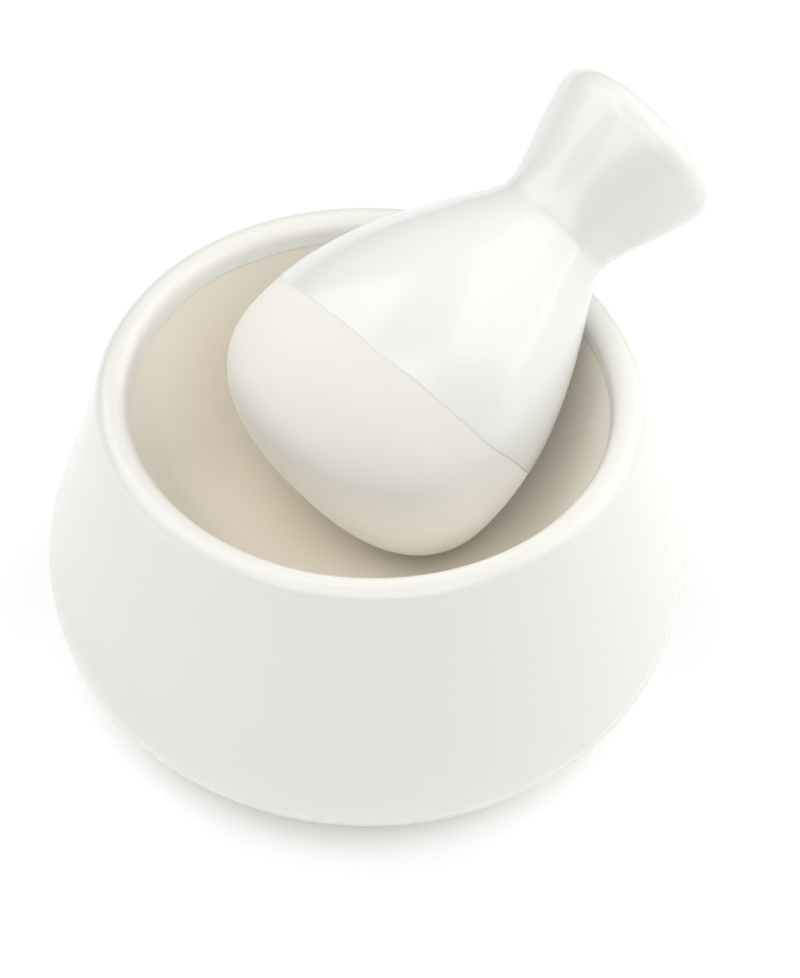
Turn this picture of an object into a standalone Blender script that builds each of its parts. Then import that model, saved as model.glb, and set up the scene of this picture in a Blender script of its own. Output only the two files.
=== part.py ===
"""A porcelain mortar with its pestle lying in the bowl, for Blender 4.5. Metres, +Z up.

The origin is on the mortar's axis, in the plane that its foot stands on. Both pieces are turned: each is an outline
of (radius, height) points swept round an axis. The pestle leans to +X+Y: its grinding head touches the bowl's floor,
and its shoulder lies on the lip. Its lean is worked out from the sizes below, so it stays seated when they change.
"""

import math

import bpy

OBJECT_NAME = "mortar_and_pestle"

# The mortar's outside
MORTAR_HEIGHT = 0.0777
FOOT_RADIUS = 0.0520
FOOT_FLARE = math.radians(28)  # between the ground and the wall where it leaves the foot
BELLY_RADIUS = 0.0700
BELLY_HEIGHT = 0.0273
WALL_LEAN = math.radians(13)  # inwards, where the wall meets the lip

# The lip is a bead, and the bowl is part of a sphere
LIP_RADIUS = 0.0038
MOUTH_RADIUS = 0.0517
FLOOR_HEIGHT = 0.0365

# The pestle, measured along its axis from the tip of its head
PESTLE_LENGTH = 0.1128
HEAD_RADIUS = 0.0349
HEAD_HEIGHT = 0.0254  # tip to the widest ring
HEAD_SQUARENESS = 2.5  # 2 is an ellipse
WAIST_HEIGHT = 0.0792
WAIST_RADIUS = 0.0141
KNOB_RADIUS = 0.0211
KNOB_FLARE = math.radians(14.5)
KNOB_EDGE_RADIUS = 0.0062
KNOB_DOME_RADIUS = 0.0534
BARE_HEAD_HEIGHT = 0.0335  # tip to the edge of the glaze

# How the pestle lies in the mortar
LEAN_DIRECTION = math.radians(41)  # from +X towards +Y
SEAT_BELOW_WAIST = 0.0074  # the ring of the shoulder that lies on the lip
CLEARANCE = 0.0003  # between the two pieces, at the floor and at the lip
STEEPEST_LEAN = math.radians(85)

# How far a wall keeps the direction of its end, as a share of its own height
FOOT_HOLD = (0.45, 0.49)
WALL_HOLD = (0.22, 0.74)
SHOULDER_HOLD = (0.48, 0.07)
KNOB_HOLD = (0.27, 0.49)

MORTAR_STEPS = 72
PESTLE_STEPS = 48
SMOOTH_BELOW = math.radians(30)

GLAZE = {"color": (0.86, 0.86, 0.83), "roughness": 0.12, "coat": 0.6}
BISQUE = {"color": (0.76, 0.70, 0.60), "roughness": 0.85, "coat": 0.0}


def clear_scene():
    for item in list(bpy.data.objects):
        bpy.data.objects.remove(item, do_unlink=True)


def arc(center, radius, start, end, segments):
    """Points of a circle from one angle to another, both ends included."""
    angles = [start + (end - start) * i / segments for i in range(segments + 1)]
    return [(center[0] + radius * math.cos(a), center[1] + radius * math.sin(a)) for a in angles]


def wall(start, start_direction, end, end_direction, hold, segments):
    """A cubic curve that leaves start and meets end in the given directions, which are angles."""
    height = abs(end[1] - start[1])
    leave = hold[0] * height
    meet = hold[1] * height
    near = (start[0] + leave * math.cos(start_direction), start[1] + leave * math.sin(start_direction))
    far = (end[0] - meet * math.cos(end_direction), end[1] - meet * math.sin(end_direction))
    points = []
    for i in range(segments + 1):
        t = i / segments
        shares = ((1 - t) ** 3, 3 * (1 - t) ** 2 * t, 3 * (1 - t) * t**2, t**3)
        corners = (start, near, far, end)
        points.append(tuple(sum(w * c[k] for w, c in zip(shares, corners)) for k in (0, 1)))
    return points


def joined(*stretches):
    """One outline from stretches that meet end to end, each shared point kept once."""
    outline = list(stretches[0])
    for stretch in stretches[1:]:
        outline += stretch[1:]
    return outline


def lip_center():
    """The middle of the lip's bead. The bead's inner side is the mouth."""
    return (MOUTH_RADIUS + LIP_RADIUS, MORTAR_HEIGHT - LIP_RADIUS)


def bowl_sphere():
    """The height of the bowl's centre and its radius: it touches the floor's height and the lip's bead."""
    bead = lip_center()
    drop = bead[1] - FLOOR_HEIGHT
    radius = (bead[0] ** 2 + drop**2 - LIP_RADIUS**2) / (2 * (LIP_RADIUS + drop))
    return FLOOR_HEIGHT + radius, radius


def mortar_outline():
    """From the bowl's floor, up the bowl, over the lip, down the outside and in under the foot."""
    bead = lip_center()
    center_height, radius = bowl_sphere()
    bowl_end = math.atan2(bead[1] - center_height, bead[0])
    bowl = arc((0, center_height), radius, -math.pi / 2, bowl_end, 12)
    top = math.pi / 2
    lip = joined(
        arc(bead, LIP_RADIUS, bowl_end + math.pi, top, 5),
        arc(bead, LIP_RADIUS, top, WALL_LEAN, 5),
    )
    belly = (BELLY_RADIUS, BELLY_HEIGHT)
    upper = wall(lip[-1], WALL_LEAN - math.pi / 2, belly, -math.pi / 2, WALL_HOLD[::-1], 9)
    foot = (FOOT_RADIUS, 0)
    lower = wall(belly, -math.pi / 2, foot, FOOT_FLARE - math.pi, FOOT_HOLD[::-1], 8)
    underside = [foot, (0, 0)]
    outline = joined(bowl, lip, upper, lower, underside)
    outline[0] = (0, FLOOR_HEIGHT)
    return outline


def head_outline(segments):
    """A quarter of a superellipse, from the widest ring down to the tip."""
    points = []
    for i in range(segments + 1):
        angle = math.pi / 2 * i / segments
        radius = HEAD_RADIUS * math.cos(angle) ** (2 / HEAD_SQUARENESS)
        height = HEAD_HEIGHT * (1 - math.sin(angle) ** (2 / HEAD_SQUARENESS))
        points.append((radius, height))
    points[-1] = (0, 0)
    return points


def shoulder_outline(segments):
    """From the waist down to the widest ring."""
    waist = (WAIST_RADIUS, WAIST_HEIGHT)
    widest = (HEAD_RADIUS, HEAD_HEIGHT)
    return wall(waist, -math.pi / 2, widest, -math.pi / 2, SHOULDER_HOLD[::-1], segments)


def knob_outline():
    """From the top of the dome, round its edge and down the cone to the waist."""
    dome_center = PESTLE_LENGTH - KNOB_DOME_RADIUS
    edge_radius = KNOB_RADIUS - KNOB_EDGE_RADIUS
    edge_rise = math.sqrt((KNOB_DOME_RADIUS - KNOB_EDGE_RADIUS) ** 2 - edge_radius**2)
    dome_end = math.atan2(edge_rise, edge_radius)
    dome = arc((0, dome_center), KNOB_DOME_RADIUS, math.pi / 2, dome_end, 5)
    dome[0] = (0, PESTLE_LENGTH)
    edge = arc((edge_radius, dome_center + edge_rise), KNOB_EDGE_RADIUS, dome_end, -KNOB_FLARE, 5)
    waist = (WAIST_RADIUS, WAIST_HEIGHT)
    cone = wall(edge[-1], -KNOB_FLARE - math.pi / 2, waist, -math.pi / 2, KNOB_HOLD[::-1], 6)
    return joined(dome, edge, cone)


def pestle_outline():
    return joined(knob_outline(), shoulder_outline(10), head_outline(10))


def seat_on_shoulder():
    """The ring of the shoulder that lies on the lip: its radius, its height and its outward slope."""
    height = WAIST_HEIGHT - SEAT_BELOW_WAIST
    outline = shoulder_outline(10)
    for (upper_radius, upper), (lower_radius, lower) in zip(outline, outline[1:]):
        if lower <= height <= upper:
            share = (upper - height) / (upper - lower)
            radius = upper_radius + share * (lower_radius - upper_radius)
            return radius, height, math.atan2(lower_radius - upper_radius, upper - lower)
    raise ValueError("SEAT_BELOW_WAIST puts the seat off the shoulder")


def tip_at(lean):
    """Where the pestle's tip is, in the upright plane it leans in, with its shoulder on the lip."""
    radius, height, slope = seat_on_shoulder()
    bead = lip_center()
    reach = LIP_RADIUS + CLEARANCE
    along = height + reach * math.sin(slope)
    below = radius + reach * math.cos(slope)
    return (
        bead[0] - along * math.cos(lean) - below * math.sin(lean),
        bead[1] - along * math.sin(lean) + below * math.cos(lean),
    )


def head_gap(lean):
    """The least gap from the head's underside to the bowl."""
    tip = tip_at(lean)
    center_height, bowl_radius = bowl_sphere()
    farthest = 0
    for radius, height in head_outline(40):
        out = tip[0] + height * math.cos(lean) + radius * math.sin(lean)
        up = tip[1] + height * math.sin(lean) - radius * math.cos(lean)
        farthest = max(farthest, math.hypot(out, up - center_height))
    return bowl_radius - farthest


def seated_lean():
    """The lean at which the head comes down to the floor: a steeper pestle goes deeper."""
    low, high = 0, STEEPEST_LEAN
    for _ in range(50):
        middle = (low + high) / 2
        if head_gap(middle) > CLEARANCE:
            low = middle
        else:
            high = middle
    return low


def make_material(name, look):
    material = bpy.data.materials.new(name)
    material.use_nodes = True
    shader = material.node_tree.nodes["Principled BSDF"]
    shader.inputs["Base Color"].default_value = (*look["color"], 1)
    shader.inputs["Roughness"].default_value = look["roughness"]
    shader.inputs["Coat Weight"].default_value = look["coat"]
    shader.inputs["Metallic"].default_value = 0
    return material


def make_turned(name, outline, steps, collection):
    """The outline swept round Z by a Screw. It runs down the outer side, so the faces point out."""
    mesh = bpy.data.meshes.new(name)
    points = [(radius, 0, height) for radius, height in outline]
    mesh.from_pydata(points, [(i, i + 1) for i in range(len(points) - 1)], [])
    item = bpy.data.objects.new(name, mesh)
    collection.objects.link(item)
    screw = item.modifiers.new("turn", "SCREW")
    screw.steps = steps
    screw.render_steps = steps
    screw.use_merge_vertices = True
    screw.merge_threshold = 0.00001
    graph = bpy.context.evaluated_depsgraph_get()
    turned = bpy.data.meshes.new_from_object(item.evaluated_get(graph))
    item.modifiers.clear()
    item.data = turned
    bpy.data.meshes.remove(mesh)
    turned.name = name
    turned.shade_smooth()
    turned.set_sharp_from_angle(angle=SMOOTH_BELOW)
    return item


def coat(item, is_bare):
    """Glaze on the whole piece, apart from the faces whose centre is on the bare part."""
    item.data.materials.append(make_material(f"{item.name}_glaze", GLAZE))
    item.data.materials.append(make_material(f"{item.name}_bisque", BISQUE))
    for face in item.data.polygons:
        face.material_index = int(is_bare(face.center))


def make_mortar(collection):
    """The bowl and the ground foot are bare: they are nearer the axis than the mouth."""
    mortar = make_turned("mortar", mortar_outline(), MORTAR_STEPS, collection)
    coat(mortar, lambda point: math.hypot(point.x, point.y) < MOUTH_RADIUS)


def make_pestle(collection):
    """The pestle hangs from an empty on the mortar's axis, which its lift slides along."""
    pestle = make_turned("pestle", pestle_outline(), PESTLE_STEPS, collection)
    coat(pestle, lambda point: point.z < BARE_HEAD_HEIGHT)
    lift = bpy.data.objects.new("pestle_lift", None)
    lift.empty_display_type = "SINGLE_ARROW"
    lift.location = (0, 0, MORTAR_HEIGHT)
    collection.objects.link(lift)
    lean = seated_lean()
    out, up = tip_at(lean)
    pestle.parent = lift
    pestle.location = (
        out * math.cos(LEAN_DIRECTION),
        out * math.sin(LEAN_DIRECTION),
        up - MORTAR_HEIGHT,
    )
    pestle.rotation_euler = (0, math.pi / 2 - lean, LEAN_DIRECTION)


def main():
    clear_scene()
    collection = bpy.data.collections.new(OBJECT_NAME)
    bpy.context.scene.collection.children.link(collection)
    make_mortar(collection)
    make_pestle(collection)
    bpy.context.view_layer.update()


main()
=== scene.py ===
"""Looks of a porcelain mortar and the pestle that lies in it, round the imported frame. Metres, +Z up."""

import math

import bpy
import numpy as np
from mathutils import Matrix, Vector


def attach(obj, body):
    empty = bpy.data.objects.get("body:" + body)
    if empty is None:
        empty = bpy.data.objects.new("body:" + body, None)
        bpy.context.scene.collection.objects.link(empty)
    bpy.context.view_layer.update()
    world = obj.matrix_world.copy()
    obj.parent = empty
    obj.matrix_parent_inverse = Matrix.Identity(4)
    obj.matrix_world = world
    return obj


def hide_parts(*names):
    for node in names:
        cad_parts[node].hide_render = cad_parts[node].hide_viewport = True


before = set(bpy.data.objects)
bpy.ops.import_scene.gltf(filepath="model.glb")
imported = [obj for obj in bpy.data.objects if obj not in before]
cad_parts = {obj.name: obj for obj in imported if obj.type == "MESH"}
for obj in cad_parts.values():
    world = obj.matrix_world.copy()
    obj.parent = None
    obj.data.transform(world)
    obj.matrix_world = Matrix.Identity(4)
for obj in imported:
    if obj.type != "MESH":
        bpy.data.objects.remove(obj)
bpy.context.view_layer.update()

# --- The mortar's clay ------------------------------------------------------------------------------------
# The mortar is one thick porcelain casting, turned true and fired. Its bowl and its ground foot are left
# bare, and are matt and warm. Everywhere else the clay lies a glaze's thickness under the surface that is
# seen.

MORTAR_HEIGHT = 0.0777
FOOT_RADIUS = 0.0520
FOOT_FLARE = math.radians(28)
BELLY_RADIUS = 0.0700
BELLY_HEIGHT = 0.0273
WALL_LEAN = math.radians(13)
LIP_RADIUS = 0.0038
MOUTH_RADIUS = 0.0517
FLOOR_HEIGHT = 0.0365
FOOT_HOLD = (0.49, 0.45)
WALL_HOLD = (0.74, 0.22)
FOOT_GRINDING = 0.0003  # how far the ground ring is inside the foot's edge
UNDERSIDE_RINGS = (0.035, 0.018)  # rings of faces across the flat underside

GLAZE_STEP = 0.00022  # the glaze stands this far above the clay at its edge
GLAZE_THICKNESS = 0.00034  # it is sunk a little into the clay, so no gap shows
BOWL_GLAZE_HEIGHT = 0.0728  # where the glaze of the lip stops, inside the bowl
STEP_FADES = 0.016  # down the bowl, from the glaze's edge

MORTAR_STEPS = 384


def arc(center, radius, start, stop, count):
    """A circle's points (radius, height) at count + 1 even angles, from start to stop."""
    angle = np.linspace(start, stop, count + 1)
    return np.stack([center[0] + radius * np.cos(angle), center[1] + radius * np.sin(angle)], 1)


def wall(start, start_direction, end, end_direction, hold, count):
    """A cubic that leaves start and meets end in these directions, each held for a share of the height."""
    start = np.array(start)
    end = np.array(end)
    height = abs(end[1] - start[1])
    near = start + hold[0] * height * np.array([math.cos(start_direction), math.sin(start_direction)])
    far = end - hold[1] * height * np.array([math.cos(end_direction), math.sin(end_direction)])
    t = np.linspace(0, 1, count + 1)[:, None]
    return (1 - t) ** 3 * start + 3 * (1 - t) ** 2 * t * near + 3 * (1 - t) * t**2 * far + t**3 * end


def joined(*stretches):
    """One outline from stretches that meet end to end, with each shared point kept once."""
    return np.concatenate([stretches[0]] + [stretch[1:] for stretch in stretches[1:]])


def lengths(outline):
    """How far along the outline each of its points is."""
    steps = np.linalg.norm(np.diff(outline, axis=0), axis=1)
    return np.concatenate([[0], np.cumsum(steps)])


def set_in(outline, places, depth):
    """Radius and height at these lengths along the outline, moved in by depth at right angles to it.

    The outline runs with its solid on the right, so a tangent (r, z) has the inward normal (z, -r)."""
    run = lengths(outline)
    tangent = np.gradient(outline, run, axis=0)
    tangent /= np.linalg.norm(tangent, axis=1, keepdims=True)
    radius = np.interp(places, run, outline[:, 0]) + depth * np.interp(places, run, tangent[:, 1])
    height = np.interp(places, run, outline[:, 1]) - depth * np.interp(places, run, tangent[:, 0])
    return radius, height


def smooth(x):
    """0 below 0, 1 above 1, and 3x^2 - 2x^3 between."""
    x = np.clip(x, 0, 1)
    return x * x * (3 - 2 * x)


def bending(outline, places):
    """How much the outline turns at these places, in radians per millimetre: above 0 where it bulges out."""
    run = lengths(outline)
    tangent = np.gradient(outline, run, axis=0)
    angle = np.unwrap(np.arctan2(tangent[:, 1], tangent[:, 0]))
    turn = -np.gradient(angle, run) / 1000
    window = np.hanning(9)
    turn = np.convolve(np.pad(turn, 4, mode="edge"), window / window.sum(), mode="valid")
    return np.interp(places, run, turn)


def turned(name, radius, height, closes, marks=None):
    """Outlines given by row, one column to an angle, each turned round Z to its angle.

    The rows close on themselves, as on a ring, or the first and the last row are each one point on the axis.
    marks holds named values of the same shape, which become attributes that the material reads."""
    rows, steps = radius.shape
    angle = np.arange(steps) * 2 * np.pi / steps
    points = np.stack([radius * np.cos(angle), radius * np.sin(angle), height], -1)
    number = np.arange(rows * steps).reshape(rows, steps)
    beside = np.roll(number, -1, 1)
    if closes:
        after = np.roll(number, -1, 0)
        across = np.roll(beside, -1, 0)
        faces = np.stack([number, after, across, beside], -1).reshape(-1, 4).tolist()
        kept = np.ones(rows * steps, bool)
    else:
        inner = np.stack([number[1:-2], number[2:-1], beside[2:-1], beside[1:-2]], -1).reshape(-1, 4)
        top = np.stack([number[0] * 0 + number[0, 0], number[1], beside[1]], -1)
        bottom = np.stack([number[-2], number[-1] * 0 + number[-1, 0], beside[-2]], -1)
        kept = np.ones((rows, steps), bool)
        kept[0, 1:] = False
        kept[-1, 1:] = False
        kept = kept.ravel()
        place = np.cumsum(kept) - 1
        faces = place[inner].tolist() + place[top].tolist() + place[bottom].tolist()
    mesh = bpy.data.meshes.new(name)
    mesh.from_pydata(points.reshape(-1, 3)[kept], [], faces)
    for mark, values in (marks or {}).items():
        layer = mesh.attributes.new(mark, "FLOAT", "POINT")
        spread = np.broadcast_to(values, radius.shape).ravel()[kept]
        layer.data.foreach_set("value", spread.astype(np.float32))
    mesh.shade_smooth()
    piece = bpy.data.objects.new(name, mesh)
    bpy.context.scene.collection.objects.link(piece)
    return piece


bead = (MOUTH_RADIUS + LIP_RADIUS, MORTAR_HEIGHT - LIP_RADIUS)
bead_drop = bead[1] - FLOOR_HEIGHT
bowl_radius = (bead[0] ** 2 + bead_drop**2 - LIP_RADIUS**2) / (2 * (LIP_RADIUS + bead_drop))
bowl_center = (0, FLOOR_HEIGHT + bowl_radius)
bowl_end = math.atan2(bead[1] - bowl_center[1], bead[0])
bowl_line = arc(bowl_center, bowl_radius, -math.pi / 2, bowl_end, 400)
lip_line = arc(bead, LIP_RADIUS, bowl_end + math.pi, WALL_LEAN, 200)
belly = (BELLY_RADIUS, BELLY_HEIGHT)
upper_line = wall(lip_line[-1], WALL_LEAN - math.pi / 2, belly, -math.pi / 2, WALL_HOLD, 400)
lower_line = wall(belly, -math.pi / 2, (FOOT_RADIUS, 0), FOOT_FLARE - math.pi, FOOT_HOLD, 300)
mortar_line = joined(bowl_line, lip_line, upper_line, lower_line)
mortar_run = lengths(mortar_line)
bowl_run = mortar_run[len(bowl_line) - 1]
lip_run = mortar_run[len(bowl_line) + len(lip_line) - 2]

inside = mortar_run <= (bowl_run + lip_run) / 2
bowl_glaze_start = np.interp(BOWL_GLAZE_HEIGHT, mortar_line[inside, 1], mortar_run[inside])

bowl_rows = np.linspace(0, bowl_glaze_start - 0.004, 70)
glaze_edge_rows = np.linspace(bowl_glaze_start - 0.0035, bowl_glaze_start + 0.002, 12)
covered_rows = np.linspace(bowl_glaze_start + 0.003, mortar_run[-1] - 0.004, 40)
foot_rows = np.linspace(mortar_run[-1] - 0.0035, mortar_run[-1], 8)
clay_places = np.concatenate([bowl_rows, glaze_edge_rows, covered_rows, foot_rows])
clay_depth = GLAZE_STEP * smooth(1 + (clay_places - bowl_glaze_start) / STEP_FADES)
clay_radius, clay_height = set_in(mortar_line, clay_places, clay_depth)
foot_rings = np.array([clay_radius[-1] - FOOT_GRINDING, *UNDERSIDE_RINGS, 0.0])
clay_radius = np.concatenate([clay_radius, foot_rings])
clay_height = np.concatenate([clay_height, np.zeros(len(foot_rings))])
clay_radius[0] = 0
even = np.ones(MORTAR_STEPS)
mortar_clay = turned("mortar_clay", np.outer(clay_radius, even), np.outer(clay_height, even), closes=False)


class Value:
    """A number that varies over a surface. Arithmetic on it adds Math nodes to the finish it belongs to."""

    def __init__(self, finish, socket):
        self.finish = finish
        self.socket = socket

    def math(self, operation, first, second):
        return self.finish.node("Math", {"operation": operation}, {0: first, 1: second})

    def __add__(self, other):
        return self.math("ADD", self, other)

    def __radd__(self, other):
        return self.math("ADD", other, self)

    def __sub__(self, other):
        return self.math("SUBTRACT", self, other)

    def __rsub__(self, other):
        return self.math("SUBTRACT", other, self)

    def __mul__(self, other):
        return self.math("MULTIPLY", self, other)

    def __rmul__(self, other):
        return self.math("MULTIPLY", other, self)

    def __lt__(self, other):
        return self.math("LESS_THAN", self, other)


class Finish:
    """A material in the making: a Principled shader, and the nodes that feed it."""

    def __init__(self, name, **constants):
        self.material = bpy.data.materials.new(name)
        self.material.use_nodes = True
        self.tree = self.material.node_tree
        self.shader = self.tree.nodes["Principled BSDF"]
        for socket, value in constants.items():
            self.shader.inputs[socket.replace("_", " ").title().replace("Ior", "IOR")].default_value = value

    def feed(self, socket, value):
        """Links a Value to the socket, or sets a plain number, colour or vector on it."""
        if isinstance(value, Value):
            self.tree.links.new(value.socket, socket)
        else:
            socket.default_value = value

    def node(self, kind, settings, inputs, output=0):
        """Adds a node of any type: first its settings, then its inputs. Returns the output asked for."""
        node = self.tree.nodes.new("ShaderNode" + kind)
        for key, value in settings.items():
            setattr(node, key, value)
        for key, value in inputs.items():
            self.feed(node.inputs[key], value)
        return Value(self, node.outputs[output])

    def place(self):
        """The point on the piece, in metres in the row frame."""
        return self.node("TexCoord", {}, {}, "Object")

    def noise(self, size, detail=2.0, output="Fac"):
        """Soft noise whose blotches are about this many metres across, from 0 to 1."""
        inputs = {"Vector": self.place(), "Scale": 1 / size, "Detail": detail}
        return self.node("TexNoise", {}, inputs, output)

    def height(self):
        """How high the point is over what the piece stands on, in metres."""
        return self.node("SeparateXYZ", {}, {"Vector": self.place()}, "Z")

    def mark(self, name):
        """The value that the mesh carries under this name."""
        return self.node("Attribute", {"attribute_name": name}, {}, "Fac")

    def ramp(self, value, low, high):
        """0 where the value is below low, 1 above high, and smooth between."""
        inputs = {"Value": value, "From Min": low, "From Max": high}
        return self.node("MapRange", {"interpolation_type": "SMOOTHSTEP"}, inputs)

    def blend(self, share, first, second):
        """The first colour turned into the second by this share."""
        inputs = {"Factor": share, 6: first, 7: second}
        return self.node("Mix", {"data_type": "RGBA"}, inputs, 2)

    def bump(self, height, metres, under=None):
        """A surface raised by height times metres, on top of another bump if one is given."""
        inputs = {"Height": height, "Distance": metres, "Strength": 1.0}
        if under is not None:
            inputs["Normal"] = under
        return self.node("Bump", {}, inputs, "Normal")

    def wear(self, **links):
        for socket, value in links.items():
            self.feed(self.shader.inputs[socket.replace("_", " ").title()], value)
        return self.material


BLOTCH_SIZE = 0.022
RUB_SIZE = 0.009
GRAIN_SIZE = 0.00045
GRAIN_RELIEF = 0.00003
GRAIN_LIGHT = (1.0, 0.98, 0.95, 1.0)
DENT_SIZE = 0.006  # the slow unevenness left by the mould
DENT_RELIEF = 0.00006
DRY_ROUGHNESS = 0.82
FOOT_SHADE_HEIGHT = 0.002  # how far up the bare foot is painted dark, as painted contact shade, where the glaze doesn't cover it


def bisque(name, color, warm, grey, foot=None):
    """Bare fired porcelain: a fine dry grain, soft blotches from the fire, and a few grey rub marks. The ring
    that it stands on, if it has one, is painted dark with this colour, as painted contact shade at the floor."""
    clay = Finish(name, ior=1.45, specular_ior_level=0.3, diffuse_roughness=0.6)
    blotch = clay.ramp(clay.noise(BLOTCH_SIZE, 3.0), 0.38, 0.68)
    rub = clay.ramp(clay.noise(RUB_SIZE, 5.0), 0.60, 0.78)
    grain = clay.noise(GRAIN_SIZE, 2.0)
    tone = clay.blend(blotch * 0.55, color, warm)
    tone = clay.blend(rub * 0.35, tone, grey)
    tone = clay.blend(clay.ramp(grain, 0.35, 0.65) * 0.05, tone, GRAIN_LIGHT)
    if foot:
        # Painted contact shade: the bare ring up to this height is darkened, standing in for the shadow where
        # it meets the floor.
        contact_shade = 1 - clay.ramp(clay.height(), FOOT_SHADE_HEIGHT * 0.8, FOOT_SHADE_HEIGHT * 1.2)
        tone = clay.blend(contact_shade * 0.9, tone, foot)
    coarse = clay.bump(clay.noise(DENT_SIZE, 2.0), DENT_RELIEF)
    fine = clay.bump(grain, GRAIN_RELIEF, coarse)
    return clay.wear(base_color=tone, roughness=DRY_ROUGHNESS - rub * 0.10, normal=fine)


BOWL_BISQUE = (0.885, 0.835, 0.738, 1.0)
BOWL_WARM = (0.880, 0.818, 0.710, 1.0)
BOWL_GREY = (0.850, 0.808, 0.728, 1.0)
# Dark grey painted on the mortar's bare foot ring, as painted contact shade where it meets the floor.
FOOT_CONTACT_SHADE = (0.300, 0.290, 0.270, 1.0)

mortar_clay.data.materials.append(bisque("bowl_bisque", BOWL_BISQUE, BOWL_WARM, BOWL_GREY, FOOT_CONTACT_SHADE))
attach(mortar_clay, "mortar")
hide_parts("mortar")

# --- The mortar's glaze -----------------------------------------------------------------------------------
# A coat of white glaze a third of a millimetre thick, melted onto the outside and over the lip. It ends in a
# rounded, slightly wandering edge just inside the mouth, and stops short of the ground that the foot stands
# on.

FOOT_BARE = 0.0006  # of the wall above the foot's edge
FOOT_ROUNDING = 0.00035
EDGE_ROUNDING = 0.0007
GLAZE_MARGIN = 0.00002  # keeps the coat inside the size of the frame
EDGE_WANDERS_FOR = 0.004
RIPPLE_DEPTH = 0.00003
RIPPLE_STARTS_OVER = 0.003  # from the coat's edge
MORTAR_BULGE_GAIN = 4.0  # turns the outline's bend, in radians per millimetre, into a share of thin glaze


def wander(angle, *waves):
    """A sum of sines round the piece, from (size in metres, waves in a turn, shift in radians)."""
    return sum(size * np.sin(count * angle + shift) for size, count, shift in waves)


def rounded_edge(distance, rounding):
    """How deep a coat's surface is at a distance from its edge: a quarter of an ellipse."""
    left = np.clip(1 - distance / rounding, 0, 1)
    return GLAZE_THICKNESS * (1 - np.sqrt(1 - left**2))


def ripple(radius, height, angle):
    """The slow unevenness of melted glaze, from 0 to RIPPLE_DEPTH: three sines that cross, in millimetres."""
    x = radius * np.cos(angle) * 1000
    y = radius * np.sin(angle) * 1000
    z = height * 1000
    first = np.sin(0.31 * x + 0.22 * z + 1.0)
    second = np.sin(0.27 * y - 0.19 * z + 2.2)
    third = np.sin(0.21 * (x + y) + 0.35 * z)
    return RIPPLE_DEPTH * ((first + second + third) / 6 + 0.5)


def toward_edge(length, rounding, count):
    """Distances from 0 to length that lie closest where the edge is rounded."""
    curl = rounding * (1 - np.cos(np.linspace(0, math.pi / 2, 9)))
    return np.concatenate([curl, rounding + (length - rounding) * np.linspace(0, 1, count)[1:]])


angle = np.arange(MORTAR_STEPS) * 2 * np.pi / MORTAR_STEPS
glaze_stop = mortar_run[-1] - FOOT_BARE
first = bowl_glaze_start + toward_edge(0.003, EDGE_ROUNDING, 8)
last = glaze_stop - toward_edge(0.004, FOOT_ROUNDING, 10)[::-1]
over_lip = np.linspace(first[-1], lip_run + 0.002, 44)[1:]
outer = np.concatenate([first, over_lip, np.linspace(over_lip[-1], last[0], 92)[1:-1], last])
inner = outer[-2:0:-4]
start_fade = smooth(1 - (outer - outer[0]) / EDGE_WANDERS_FOR)
stop_fade = smooth(1 - (outer[-1] - outer) / EDGE_WANDERS_FOR)
start_wander = wander(angle, (0.00022, 2, 0.4), (0.00014, 5, 2.0), (0.00008, 11, 0.7), (0.00004, 23, 1.0))
stop_wander = wander(angle, (0.00010, 3, 1.4), (0.00005, 8, 0.3))
shifts = np.outer(start_fade, start_wander) + np.outer(stop_fade, stop_wander)
outer_places = outer[:, None] + shifts
inner_rows = np.searchsorted(outer, inner)
inner_places = outer_places[inner_rows]
from_lip_edge = outer_places - outer_places[0]
from_foot_edge = outer_places[-1] - outer_places
lip_curl = rounded_edge(from_lip_edge, EDGE_ROUNDING)
foot_curl = rounded_edge(from_foot_edge, FOOT_ROUNDING)
outer_depth = GLAZE_MARGIN + lip_curl + foot_curl
outer_radius, outer_height = set_in(mortar_line, outer_places, outer_depth)
waves = ripple(outer_radius, outer_height, angle)
waves *= smooth(np.minimum(from_lip_edge, from_foot_edge) / RIPPLE_STARTS_OVER)
outer_radius, outer_height = set_in(mortar_line, outer_places, outer_depth + waves)
inner_radius, inner_height = set_in(mortar_line, inner_places, GLAZE_MARGIN + GLAZE_THICKNESS)
coat_places = np.concatenate([outer_places, inner_places])
thin = np.clip(bending(mortar_line, coat_places) * MORTAR_BULGE_GAIN, -1, 1)
edge_distance = (coat_places - outer_places[0]) * 1000
mortar_glaze = turned(
    "mortar_glaze",
    np.concatenate([outer_radius, inner_radius]),
    np.concatenate([outer_height, inner_height]),
    closes=True,
    marks={"bulge": thin, "edge_mm": edge_distance},
)


CLOUD_SIZE = 0.030
SPECK_SPACING = 0.011
SPECK_IRON = (0.34, 0.30, 0.25, 1.0)
SPECK_SHARE = 0.16  # of the cells hold a speck
PINHOLE_SHARE = 0.42  # and of them hold a pinhole
PINHOLE_RELIEF = 0.00004
SKIN_SIZE = 0.0075
SKIN_RELIEF = 0.00006
GLOSS_ROUGHNESS = 0.17


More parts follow.
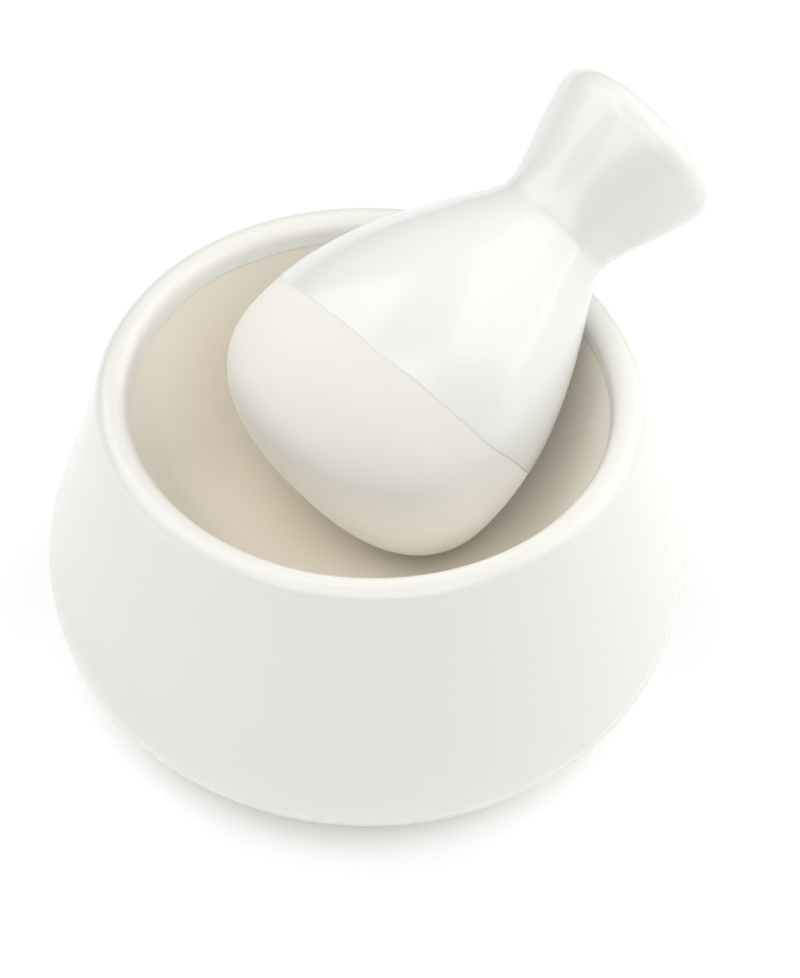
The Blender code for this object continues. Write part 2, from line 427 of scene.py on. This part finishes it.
def glaze(name, color, thin_color, deep_color):
    """Melted white glaze. It is glass over clay: thin and warm where the form bulges and at its edge, deeper
    and cooler in hollows, with a soft ripple, a few pinholes and the odd iron speck."""
    coat = Finish(name, ior=1.5, specular_ior_level=0.4, coat_weight=0.12, coat_roughness=0.06, coat_ior=1.45)
    bulge = coat.mark("bulge")
    edge = 1 - coat.ramp(coat.mark("edge_mm"), 0.1, 1.3)
    cloud = coat.ramp(coat.noise(CLOUD_SIZE, 2.0), 0.35, 0.65)
    tone = coat.blend(cloud * 0.35, color, deep_color)
    tone = coat.blend(coat.ramp(bulge, 0.25, 0.9) * 0.75, tone, thin_color)
    tone = coat.blend(coat.ramp(bulge * -1.0, 0.1, 0.8) * 0.6, tone, deep_color)
    tone = coat.blend(edge * 0.5, tone, thin_color)
    cells = {"Vector": coat.place(), "Scale": 1 / SPECK_SPACING}
    middle = coat.node("TexVoronoi", {"feature": "F1"}, cells, "Distance")
    chance = coat.node("TexVoronoi", {"feature": "F1"}, cells, "Color")
    chosen = coat.node("SeparateColor", {}, {"Color": chance}, "Red")
    speck = (1 - coat.ramp(middle, 0.012, 0.024)) * (chosen < SPECK_SHARE)
    pinhole = (1 - coat.ramp(middle, 0.010, 0.020)) * (chosen < PINHOLE_SHARE)
    tone = coat.blend(speck * 0.75, tone, SPECK_IRON)
    skin = coat.bump(coat.noise(SKIN_SIZE, 1.0), SKIN_RELIEF)
    pits = coat.bump(1 - pinhole, PINHOLE_RELIEF, skin)
    return coat.wear(base_color=tone, roughness=GLOSS_ROUGHNESS + cloud * 0.04, normal=pits)


WHITE_GLAZE = (0.875, 0.880, 0.835, 1.0)
THIN_GLAZE = (0.905, 0.888, 0.830, 1.0)
DEEP_GLAZE = (0.860, 0.870, 0.828, 1.0)

mortar_glaze.data.materials.append(glaze("mortar_glaze", WHITE_GLAZE, THIN_GLAZE, DEEP_GLAZE))
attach(mortar_glaze, "mortar")

# --- The pestle's clay ------------------------------------------------------------------------------------
# The pestle is a second solid casting of the same porcelain. Its broad grinding head is bare, so that it
# bites, and paler than the bowl. The rest of the clay lies under the glaze.

PESTLE_LENGTH = 0.1128
HEAD_RADIUS = 0.0349
HEAD_HEIGHT = 0.0254
HEAD_SQUARENESS = 2.5
WAIST_HEIGHT = 0.0792
WAIST_RADIUS = 0.0141
KNOB_RADIUS = 0.0211
KNOB_FLARE = math.radians(14.5)
KNOB_EDGE_RADIUS = 0.0062
KNOB_DOME_RADIUS = 0.0534
SHOULDER_HOLD = (0.07, 0.48)
KNOB_HOLD = (0.49, 0.27)
TURNED_MARGIN = 0.00006  # the frame's pestle has flat sides, and the clay and glaze stay inside its box

HEAD_GLAZE_HEIGHT = 0.0335  # the middle of the glaze's edge, from the tip of the head
GLAZE_EDGE_SLANTS = 0.004  # about how much nearer the tip it comes on one side
PESTLE_STEPS = 256


def superellipse(radius, height, power, count):
    """A quarter of (r / radius)^power + (z / height)^power = 1, from its widest ring down to its tip."""
    angle = np.linspace(0, math.pi / 2, count + 1)
    r = radius * np.maximum(np.cos(angle), 0) ** (2 / power)
    z = height * (1 - np.sin(angle) ** (2 / power))
    return np.stack([r, z], 1)


def axis_of(node):
    """The tip and the direction of a turned node: its points spread furthest along its axis."""
    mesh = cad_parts[node].data
    points = np.zeros(len(mesh.vertices) * 3)
    mesh.vertices.foreach_get("co", points)
    points = np.unique(points.reshape(-1, 3).round(7), axis=0)
    middle = points.mean(0)
    axis = np.linalg.eigh(np.cov((points - middle).T))[1][:, -1]
    axis *= np.sign(axis[2])
    return middle + axis * ((points - middle) @ axis).min(), axis


def laid(piece, tip, axis):
    """Moves the mesh, not the object, so that its Z axis lies along axis from tip. Its X side faces down."""
    axis = Vector(axis)
    across = Vector((0, 0, 1)).cross(axis).normalized()
    under = across.cross(axis)
    turn = Matrix((under, across, axis)).transposed().to_4x4()
    turn.translation = Vector(tip)
    piece.data.transform(turn)
    piece.data.update()


dome_center = PESTLE_LENGTH - KNOB_DOME_RADIUS
edge_radius = KNOB_RADIUS - KNOB_EDGE_RADIUS
edge_rise = math.sqrt((KNOB_DOME_RADIUS - KNOB_EDGE_RADIUS) ** 2 - edge_radius**2)
dome_end = math.atan2(edge_rise, edge_radius)
dome_line = arc((0, dome_center), KNOB_DOME_RADIUS, math.pi / 2, dome_end, 200)
edge_line = arc((edge_radius, dome_center + edge_rise), KNOB_EDGE_RADIUS, dome_end, -KNOB_FLARE, 120)
waist = (WAIST_RADIUS, WAIST_HEIGHT)
widest = (HEAD_RADIUS, HEAD_HEIGHT)
cone_line = wall(edge_line[-1], -KNOB_FLARE - math.pi / 2, waist, -math.pi / 2, KNOB_HOLD, 250)
shoulder_line = wall(waist, -math.pi / 2, widest, -math.pi / 2, SHOULDER_HOLD, 400)
head_line = superellipse(HEAD_RADIUS, HEAD_HEIGHT, HEAD_SQUARENESS, 400)
pestle_line = joined(dome_line, edge_line, cone_line, shoulder_line, head_line)
pestle_line[0, 0] = 0
pestle_line[-1] = 0
pestle_run = lengths(pestle_line)
below_waist = pestle_run > pestle_run[len(dome_line) + len(edge_line) + len(cone_line) - 3]
head_glaze_stop = np.interp(-HEAD_GLAZE_HEIGHT, -pestle_line[below_waist, 1], pestle_run[below_waist])

knob_rows = np.linspace(0, head_glaze_stop - 0.012, 46)
glaze_edge_rows = np.linspace(head_glaze_stop - 0.010, head_glaze_stop + 0.012, 26)
head_rows = np.linspace(head_glaze_stop + 0.013, pestle_run[-1], 74)
core_places = np.concatenate([knob_rows, glaze_edge_rows, head_rows])
past_glaze = core_places - head_glaze_stop - GLAZE_EDGE_SLANTS
core_depth = TURNED_MARGIN + GLAZE_STEP * smooth(1 - past_glaze / STEP_FADES)
core_radius, core_height = set_in(pestle_line, core_places, core_depth)
core_radius[0] = 0
core_radius[-1] = 0
even = np.ones(PESTLE_STEPS)
pestle_clay = turned("pestle_clay", np.outer(core_radius, even), np.outer(core_height, even), closes=False)
pestle_tip, pestle_axis = axis_of("pestle")
laid(pestle_clay, pestle_tip, pestle_axis)

HEAD_BISQUE = (0.925, 0.905, 0.850, 1.0)
HEAD_WARM = (0.925, 0.892, 0.822, 1.0)
HEAD_GREY = (0.900, 0.880, 0.832, 1.0)

pestle_clay.data.materials.append(bisque("head_bisque", HEAD_BISQUE, HEAD_WARM, HEAD_GREY))
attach(pestle_clay, "pestle")
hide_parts("pestle")

# --- The pestle's glaze -----------------------------------------------------------------------------------
# The knob, the waist and the shoulder were dipped in the same white glaze, held at a slant, so that its edge
# crosses the head a little askew. It is thin and warm round the rim of the knob, and a little deeper at the
# waist.

SLANT_UPPER = 0.0046  # how much nearer the tip the glaze comes on the pestle's upper side
SLANT_LEFT = 0.0013  # and on its left, seen from the tip
SLANT_FADES = 0.030
RIPPLE_STARTS_FROM_TOP = 0.010
PESTLE_BULGE_GAIN = 5.0

angle = np.arange(PESTLE_STEPS) * 2 * np.pi / PESTLE_STEPS
last = head_glaze_stop - toward_edge(0.006, EDGE_ROUNDING, 10)[::-1]
knob_end = pestle_run[len(dome_line) + len(edge_line) - 2]
knob_places = np.linspace(0, knob_end + 0.002, 60)
outer = np.concatenate([knob_places, np.linspace(knob_places[-1], last[0], 74)[1:-1], last])
inner = outer[-2::-4]
inner = np.append(inner[inner > 0], 0)
inner_rows = np.searchsorted(outer, inner)
slant = SLANT_LEFT * np.sin(angle) - SLANT_UPPER * np.cos(angle)
drift = wander(angle, (0.00030, 3, 1.1), (0.00018, 7, 2.4), (0.00009, 13, 0.2), (0.00004, 29, 1.9))
slant_fade = smooth(1 - (outer[-1] - outer) / SLANT_FADES)
drift_fade = smooth(1 - (outer[-1] - outer) / EDGE_WANDERS_FOR)
outer_places = outer[:, None] + np.outer(slant_fade, slant) + np.outer(drift_fade, drift)
from_edge = outer_places[-1] - outer_places
outer_depth = TURNED_MARGIN + rounded_edge(from_edge, EDGE_ROUNDING)
outer_radius, outer_height = set_in(pestle_line, outer_places, outer_depth)
waves = ripple(outer_radius, outer_height, angle)
waves *= smooth(from_edge / RIPPLE_STARTS_OVER) * smooth(outer_places / RIPPLE_STARTS_FROM_TOP)
outer_radius, outer_height = set_in(pestle_line, outer_places, outer_depth + waves)
inner_places = outer_places[inner_rows]
inner_radius, inner_height = set_in(pestle_line, inner_places, TURNED_MARGIN + GLAZE_THICKNESS)
outer_radius[0] = 0
inner_radius[-1] = 0
coat_places = np.concatenate([outer_places, inner_places])
thin = np.clip(bending(pestle_line, coat_places) * PESTLE_BULGE_GAIN, -1, 1)
pestle_glaze = turned(
    "pestle_glaze",
    np.concatenate([outer_radius, inner_radius]),
    np.concatenate([outer_height, inner_height]),
    closes=False,
    marks={"bulge": thin, "edge_mm": (outer_places[-1] - coat_places) * 1000},
)
laid(pestle_glaze, pestle_tip, pestle_axis)

KNOB_GLAZE = (0.905, 0.912, 0.880, 1.0)
KNOB_THIN = (0.920, 0.905, 0.862, 1.0)
KNOB_DEEP = (0.882, 0.892, 0.862, 1.0)

pestle_glaze.data.materials.append(glaze("pestle_glaze", KNOB_GLAZE, KNOB_THIN, KNOB_DEEP))
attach(pestle_glaze, "pestle")

# --- The floor --------------------------------------------------------------------------------------------
# A plain white table top, lit a little from below as a light table is, so that only the contact shadow shows.

FLOOR_SIZE = 5.0
FLOOR_WHITE = (0.97, 0.97, 0.97, 1.0)
FLOOR_GLOW = 0.12

corner = FLOOR_SIZE / 2
floor_mesh = bpy.data.meshes.new("floor")
floor_corners = [(-corner, -corner, 0), (corner, -corner, 0), (corner, corner, 0), (-corner, corner, 0)]
floor_mesh.from_pydata(floor_corners, [], [(0, 1, 2, 3)])
floor = bpy.data.objects.new("floor", floor_mesh)
bpy.context.scene.collection.objects.link(floor)
paper = Finish(
    "white_table",
    base_color=FLOOR_WHITE,
    roughness=0.9,
    specular_ior_level=0.1,
    emission_color=(1.0, 1.0, 1.0, 1.0),
    emission_strength=FLOOR_GLOW,
)
floor_mesh.materials.append(paper.material)

# --- The light --------------------------------------------------------------------------------------------
# Broad soft panels: a window to the right, two overhead, weak ones to the left and behind, and a low strip at
# the right, meant for a long thin reflection down the pestle's shoulder.

ROOM_LIGHT = 0.01
ROOM_WHITE = (1.0, 1.0, 0.995, 1.0)


PANEL_TARGET = (0, 0, 0.05)


def panel(name, place, width, height, watts, target=PANEL_TARGET):
    """A white rectangular lamp at place that faces target."""
    lamp = bpy.data.lights.new(name, "AREA")
    lamp.shape = "RECTANGLE"
    lamp.size = width
    lamp.size_y = height
    lamp.energy = watts
    item = bpy.data.objects.new(name, lamp)
    item.location = place
    item.rotation_euler = (Vector(target) - Vector(place)).to_track_quat("-Z", "Y").to_euler()
    bpy.context.scene.collection.objects.link(item)


panel("window_right", (1.40, 0.50, 1.00), width=2.0, height=1.9, watts=20.8)
panel("overhead_front", (0.0, -1.10, 1.60), width=2.4, height=1.5, watts=21.8)
panel("overhead_left", (-0.90, 0.40, 1.40), width=1.7, height=1.7, watts=16.0)
panel("left", (-1.40, -0.30, 0.90), width=1.8, height=1.6, watts=2.5)
panel("back_right", (1.00, 1.20, 0.90), width=1.6, height=1.2, watts=3.2)
panel("low_right", (1.50, 0.15, 0.20), width=1.0, height=0.3, watts=1.0, target=(0, 0, 0.10))

world = bpy.data.worlds.new("room")
world.use_nodes = True
background = world.node_tree.nodes["Background"]
background.inputs["Color"].default_value = ROOM_WHITE
background.inputs["Strength"].default_value = ROOM_LIGHT
bpy.context.scene.world = world
bpy.context.scene.view_settings.view_transform = "Standard"

# --- The camera -------------------------------------------------------------------------------------------
# A long lens that looks down at 47 degrees from in front of the mortar, held very slightly askew.

CAMERA_ELEVATION = math.radians(47.19)
CAMERA_DISTANCE = 1.0267
CAMERA_TARGET = Vector((0, 0, 0.0373))
CAMERA_ROLL = math.radians(1.434)
CAMERA_LENS = 171.9
CAMERA_SENSOR = 36.0
CAMERA_SHIFT = (0.0333, 0.0311)

forward = Vector((0, math.cos(CAMERA_ELEVATION), -math.sin(CAMERA_ELEVATION)))
level = Vector((1, 0, 0))
up = level.cross(forward)
tilted_level = level * math.cos(CAMERA_ROLL) + up * math.sin(CAMERA_ROLL)
tilted_up = up * math.cos(CAMERA_ROLL) - level * math.sin(CAMERA_ROLL)
camera_data = bpy.data.cameras.new("camera")
camera_data.lens = CAMERA_LENS
camera_data.sensor_width = CAMERA_SENSOR
camera_data.shift_x, camera_data.shift_y = CAMERA_SHIFT
camera = bpy.data.objects.new("camera", camera_data)
camera.matrix_world = Matrix((tilted_level, tilted_up, -forward)).transposed().to_4x4()
camera.location = CAMERA_TARGET - forward * CAMERA_DISTANCE
bpy.context.scene.collection.objects.link(camera)
bpy.context.scene.camera = camera
